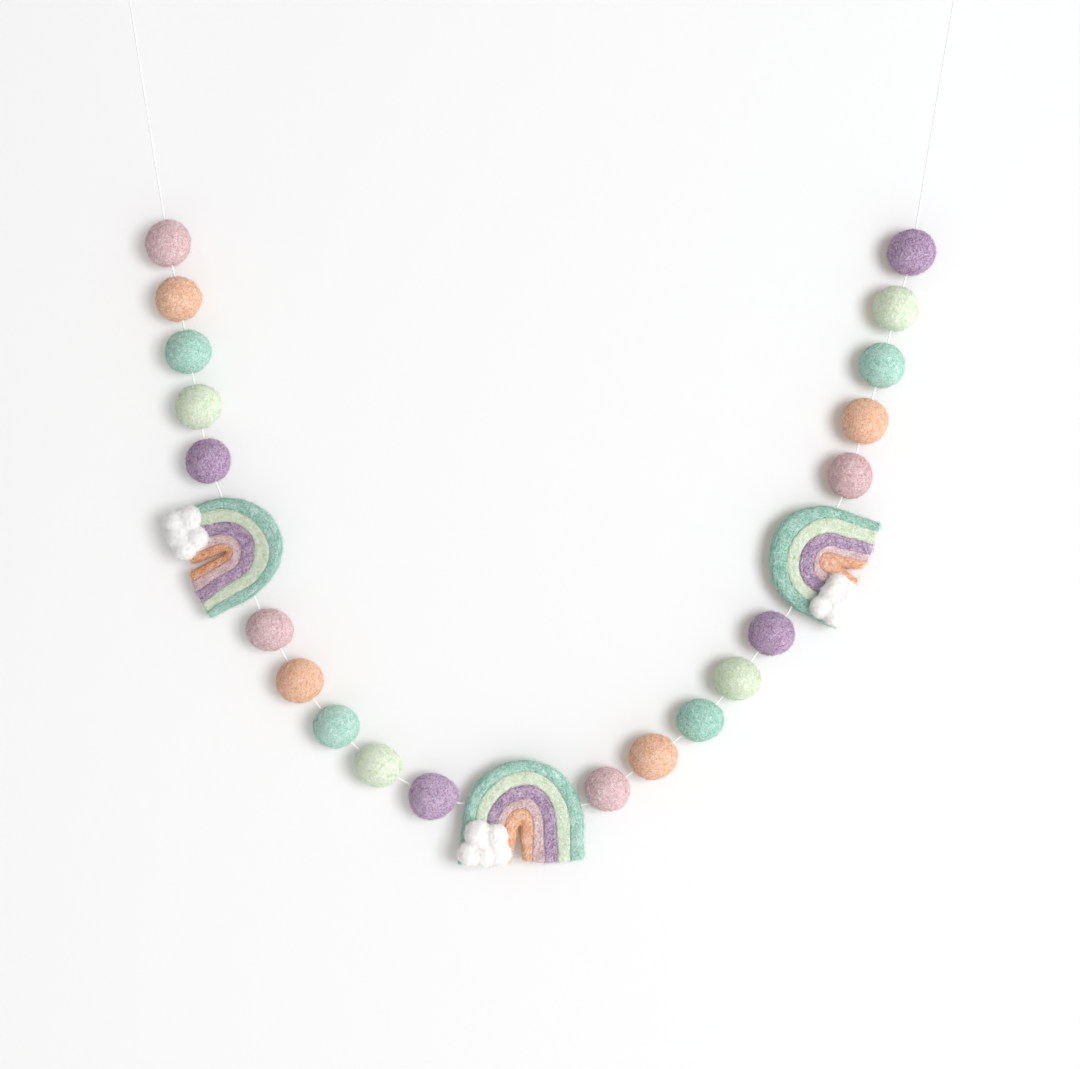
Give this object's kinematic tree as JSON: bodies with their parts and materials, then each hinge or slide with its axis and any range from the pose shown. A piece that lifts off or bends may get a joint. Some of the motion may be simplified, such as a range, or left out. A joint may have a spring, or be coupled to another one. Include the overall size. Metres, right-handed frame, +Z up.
{
  "type": "felt ball garland",
  "caption": "Hanging garland of pastel felted wool balls and small felt rainbows with white clouds, threaded on a white string that ends in a loop at each side.",
  "frame": {"origin": "top of the left loop, where the nail or hook that holds it would be", "axes": "+Z up, +X along the wall to the right loop, +Y into the wall behind the garland"},
  "size_m": [0.4458, 0.0261, 0.4773],
  "materials": {
    "felt_pink": "matte",
    "felt_peach": "matte",
    "felt_teal": "matte",
    "felt_green": "matte",
    "felt_purple": "matte",
    "felt_orange": "matte",
    "felt_white": "matte",
    "string_cotton": "matte"
  },
  "bodies": {
    "root": {"ball_01_pink": "felt_pink", "ball_02_peach": "felt_peach", "ball_03_teal": "felt_teal", "ball_04_green": "felt_green", "ball_05_purple": "felt_purple", "ball_06_pink": "felt_pink", "ball_07_peach": "felt_peach", "ball_08_teal": "felt_teal", "ball_09_green": "felt_green", "ball_10_purple": "felt_purple", "ball_11_pink": "felt_pink", "ball_12_peach": "felt_peach", "ball_13_teal": "felt_teal", "ball_14_green": "felt_green", "ball_15_purple": "felt_purple", "ball_16_pink": "felt_pink", "ball_17_peach": "felt_peach", "ball_18_teal": "felt_teal", "ball_19_green": "felt_green", "ball_20_purple": "felt_purple", "rainbow_centre_cloud": "felt_white", "rainbow_centre_green": "felt_green", "rainbow_centre_orange": "felt_orange", "rainbow_centre_pink": "felt_pink", "rainbow_centre_purple": "felt_purple", "rainbow_centre_teal": "felt_teal", "rainbow_left_cloud": "felt_white", "rainbow_left_green": "felt_green", "rainbow_left_orange": "felt_orange", "rainbow_left_pink": "felt_pink", "rainbow_left_purple": "felt_purple", "rainbow_left_teal": "felt_teal", "rainbow_right_cloud": "felt_white", "rainbow_right_green": "felt_green", "rainbow_right_orange": "felt_orange", "rainbow_right_pink": "felt_pink", "rainbow_right_purple": "felt_purple", "rainbow_right_teal": "felt_teal", "string": "string_cotton"}
  },
  "joints": []
}
